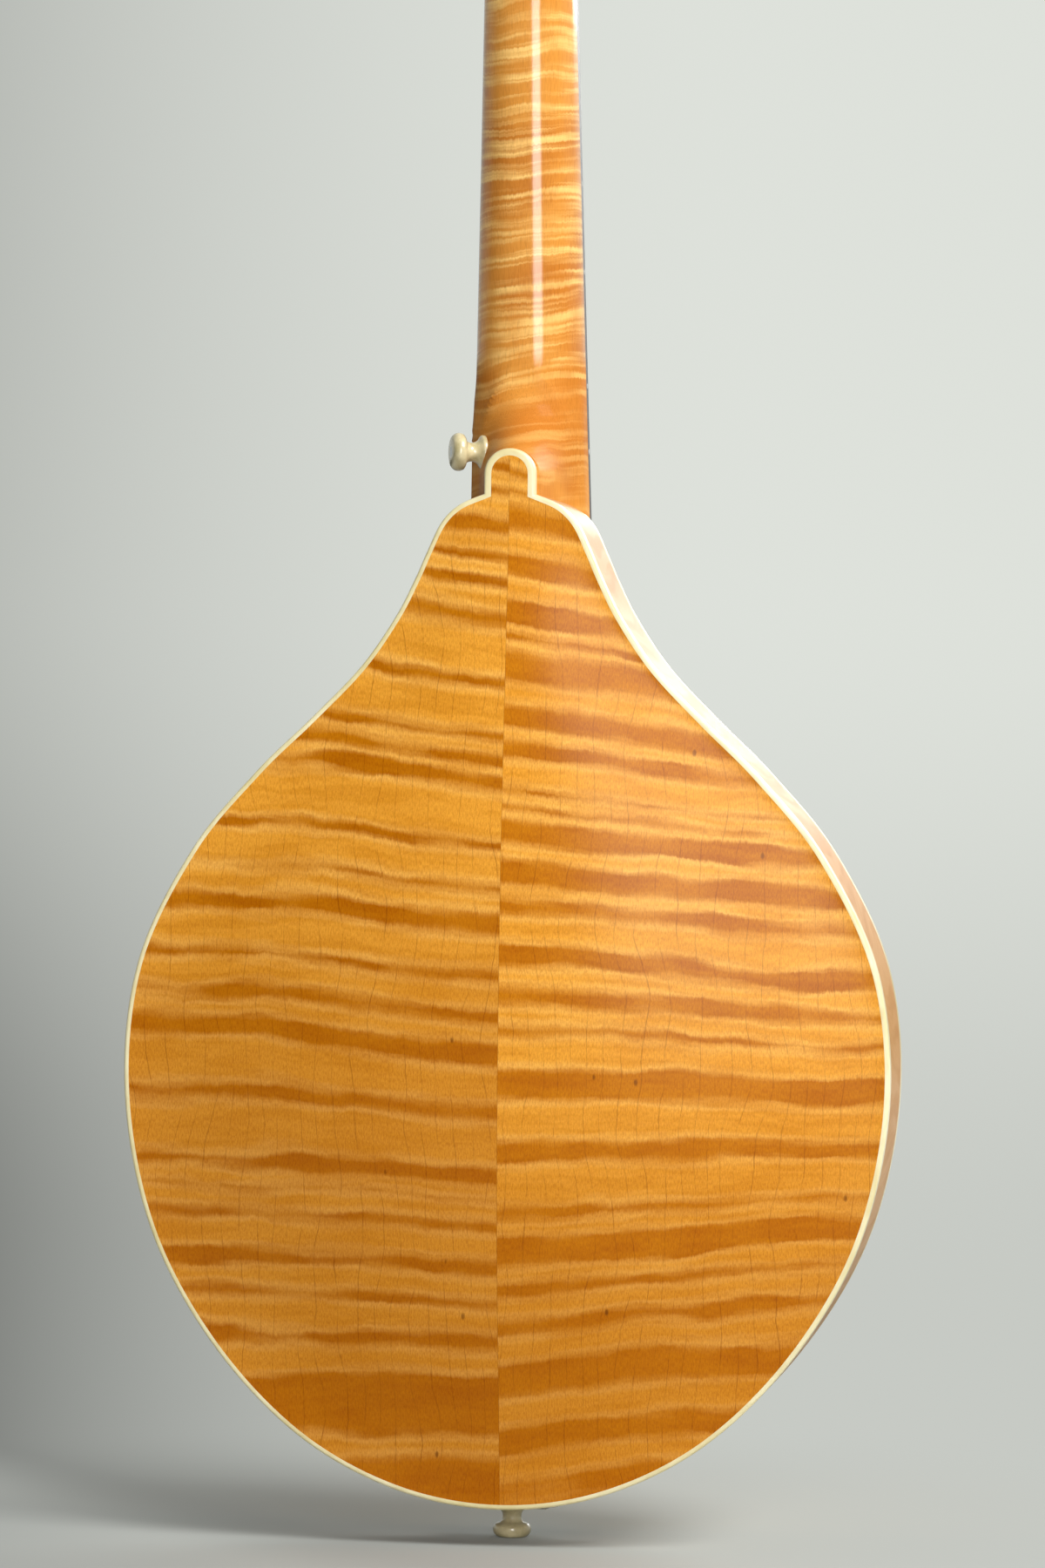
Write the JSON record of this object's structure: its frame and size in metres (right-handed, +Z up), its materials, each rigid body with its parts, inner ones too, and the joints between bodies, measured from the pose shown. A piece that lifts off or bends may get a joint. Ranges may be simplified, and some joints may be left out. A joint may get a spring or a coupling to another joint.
{
  "type": "a-style mandolin",
  "caption": "Teardrop-bodied mandolin with carved top and back, bound edges, oval soundhole, movable bridge, covered tailpiece and worm-geared tuners.",
  "frame": {"origin": "middle of the nut's lower edge, where the nut meets the fingerboard's playing face", "axes": "+Z up along the body's rim planes towards the peghead, +X to the treble side, -Y out of the front, where the strings are"},
  "size_m": [0.2568, 0.1008, 0.671],
  "materials": {
    "flamed_maple": "gloss",
    "neck_maple": "gloss",
    "spruce": "gloss",
    "inner_wood": "raw",
    "ivoroid": "gloss",
    "ivory_coloured_pin": "satin",
    "bone": "satin",
    "ebony": "satin",
    "nickel": "polished",
    "brass": "satin",
    "steel": "satin",
    "wound_bronze": "wound"
  },
  "bodies": {
    "instrument": {"back_plate_bass": "flamed_maple", "back_plate_treble": "flamed_maple", "rib_bass": "flamed_maple", "rib_treble": "flamed_maple", "neck": "neck_maple", "top_plate_bass": "spruce", "top_plate_treble": "spruce", "soundhole_binding": "ivoroid", "back_binding": "ivoroid", "top_binding": "ivoroid", "neck_block": "inner_wood", "tail_block": "inner_wood", "top_lining": "inner_wood", "back_lining": "inner_wood", "tone_bar_bass": "inner_wood", "tone_bar_treble": "inner_wood", "tail_strap_pin": "ivory_coloured_pin", "heel_strap_pin": "ivory_coloured_pin", "nut": "bone", "tailpiece_base": "nickel", "tailpiece_screw_bass": "nickel", "tailpiece_screw_treble": "nickel", "bridge_base": "ebony", "fingerboard": "ebony", "headplate": "ebony", "truss_rod_cover": "ebony", "bridge_post_bass": "brass", "bridge_post_treble": "brass", "truss_rod": "steel", "tuner_plate_bass": "nickel", "tuner_plate_treble": "nickel", "g_string_1": "wound_bronze", "g_string_2": "wound_bronze", "d_string_1": "wound_bronze", "d_string_2": "wound_bronze", "a_string_1": "steel", "a_string_2": "steel", "e_string_1": "steel", "e_string_2": "steel"},
    "bridge_saddle": {"bridge_saddle": "ebony"},
    "thumbwheel_bass": {"thumbwheel_bass": "brass"},
    "thumbwheel_treble": {"thumbwheel_treble": "brass"},
    "tailpiece_cover": {"tailpiece_cover": "nickel"},
    "truss_rod_nut": {"truss_rod_nut": "brass"},
    "tuner_knob_1": {"tuner_knob_1": "ivoroid"},
    "tuner_post_1": {"tuner_post_1": "brass"},
    "tuner_knob_2": {"tuner_knob_2": "ivoroid"},
    "tuner_post_2": {"tuner_post_2": "brass"},
    "tuner_knob_3": {"tuner_knob_3": "ivoroid"},
    "tuner_post_3": {"tuner_post_3": "brass"},
    "tuner_knob_4": {"tuner_knob_4": "ivoroid"},
    "tuner_post_4": {"tuner_post_4": "brass"},
    "tuner_knob_5": {"tuner_knob_5": "ivoroid"},
    "tuner_post_5": {"tuner_post_5": "brass"},
    "tuner_knob_6": {"tuner_knob_6": "ivoroid"},
    "tuner_post_6": {"tuner_post_6": "brass"},
    "tuner_knob_7": {"tuner_knob_7": "ivoroid"},
    "tuner_post_7": {"tuner_post_7": "brass"},
    "tuner_knob_8": {"tuner_knob_8": "ivoroid"},
    "tuner_post_8": {"tuner_post_8": "brass"}
  },
  "joints": [
    {"name": "tuner_1_turn", "type": "hinge", "parent": "instrument", "child": "tuner_knob_1", "pos_m": [-0.018, 0.0344, 0.03694], "axis": [1, 0, 0], "continuous": true},
    {"name": "post_1_turn", "type": "hinge", "parent": "instrument", "child": "tuner_post_1", "pos_m": [-0.018, 0.01449, 0.03687], "axis": [0, -0.9455, 0.3256], "continuous": true},
    {"name": "tuner_2_turn", "type": "hinge", "parent": "instrument", "child": "tuner_knob_2", "pos_m": [-0.018, 0.04205, 0.05916], "axis": [1, 0, 0], "continuous": true},
    {"name": "post_2_turn", "type": "hinge", "parent": "instrument", "child": "tuner_post_2", "pos_m": [-0.018, 0.02214, 0.05909], "axis": [0, -0.9455, 0.3256], "continuous": true},
    {"name": "tuner_3_turn", "type": "hinge", "parent": "instrument", "child": "tuner_knob_3", "pos_m": [-0.018, 0.0497, 0.08138], "axis": [1, 0, 0], "continuous": true},
    {"name": "post_3_turn", "type": "hinge", "parent": "instrument", "child": "tuner_post_3", "pos_m": [-0.018, 0.0298, 0.08131], "axis": [0, -0.9455, 0.3256], "continuous": true},
    {"name": "tuner_4_turn", "type": "hinge", "parent": "instrument", "child": "tuner_knob_4", "pos_m": [-0.018, 0.05735, 0.1036], "axis": [1, 0, 0], "continuous": true},
    {"name": "post_4_turn", "type": "hinge", "parent": "instrument", "child": "tuner_post_4", "pos_m": [-0.018, 0.03745, 0.10353], "axis": [0, -0.9455, 0.3256], "continuous": true},
    {"name": "tuner_5_turn", "type": "hinge", "parent": "instrument", "child": "tuner_knob_5", "pos_m": [0.018, 0.0344, 0.03694], "axis": [1, 0, 0], "continuous": true},
    {"name": "post_5_turn", "type": "hinge", "parent": "instrument", "child": "tuner_post_5", "pos_m": [0.018, 0.01449, 0.03687], "axis": [0, -0.9455, 0.3256], "continuous": true},
    {"name": "tuner_6_turn", "type": "hinge", "parent": "instrument", "child": "tuner_knob_6", "pos_m": [0.018, 0.04205, 0.05916], "axis": [1, 0, 0], "continuous": true},
    {"name": "post_6_turn", "type": "hinge", "parent": "instrument", "child": "tuner_post_6", "pos_m": [0.018, 0.02214, 0.05909], "axis": [0, -0.9455, 0.3256], "continuous": true},
    {"name": "tuner_7_turn", "type": "hinge", "parent": "instrument", "child": "tuner_knob_7", "pos_m": [0.018, 0.0497, 0.08138], "axis": [1, 0, 0], "continuous": true},
    {"name": "post_7_turn", "type": "hinge", "parent": "instrument", "child": "tuner_post_7", "pos_m": [0.018, 0.0298, 0.08131], "axis": [0, -0.9455, 0.3256], "continuous": true},
    {"name": "tuner_8_turn", "type": "hinge", "parent": "instrument", "child": "tuner_knob_8", "pos_m": [0.018, 0.05735, 0.1036], "axis": [1, 0, 0], "continuous": true},
    {"name": "post_8_turn", "type": "hinge", "parent": "instrument", "child": "tuner_post_8", "pos_m": [0.018, 0.03745, 0.10353], "axis": [0, -0.9455, 0.3256], "continuous": true},
    {"name": "saddle_lift", "type": "slide", "parent": "instrument", "child": "bridge_saddle", "axis": [0, -1, 0], "range_m": [-0.001, 0.002], "deforming": ["g_string_1", "g_string_2", "d_string_1", "d_string_2", "a_string_1", "a_string_2", "e_string_1", "e_string_2"]},
    {"name": "thumbwheel_bass_turn", "type": "hinge", "parent": "bridge_saddle", "child": "thumbwheel_bass", "pos_m": [-0.024, -0.026, -0.35229], "axis": [0, -1, 0], "range_deg": [-451, 901]},
    {"name": "thumbwheel_treble_turn", "type": "hinge", "parent": "bridge_saddle", "child": "thumbwheel_treble", "pos_m": [0.024, -0.026, -0.35229], "axis": [0, -1, 0], "range_deg": [-451, 901]},
    {"name": "cover_slide", "type": "slide", "parent": "instrument", "child": "tailpiece_cover", "axis": [0, 0.1265, -0.992], "range_m": [0, 0.03]},
    {"name": "truss_nut_turn", "type": "hinge", "parent": "instrument", "child": "truss_rod_nut", "pos_m": [0, 0.01055, 0.00811], "axis": [0, 0.0872, 0.9962], "range_deg": [-270, 270]}
  ],
  "couplings": [
    {"joint": "post_1_turn", "follows": "tuner_1_turn", "ratio": 0.071429},
    {"joint": "post_2_turn", "follows": "tuner_2_turn", "ratio": 0.071429},
    {"joint": "post_3_turn", "follows": "tuner_3_turn", "ratio": 0.071429},
    {"joint": "post_4_turn", "follows": "tuner_4_turn", "ratio": 0.071429},
    {"joint": "post_5_turn", "follows": "tuner_5_turn", "ratio": 0.071429},
    {"joint": "post_6_turn", "follows": "tuner_6_turn", "ratio": 0.071429},
    {"joint": "post_7_turn", "follows": "tuner_7_turn", "ratio": 0.071429},
    {"joint": "post_8_turn", "follows": "tuner_8_turn", "ratio": 0.071429},
    {"joint": "thumbwheel_bass_turn", "follows": "saddle_lift", "rad_per_m": 7854},
    {"joint": "thumbwheel_treble_turn", "follows": "saddle_lift", "rad_per_m": 7854}
  ]
}
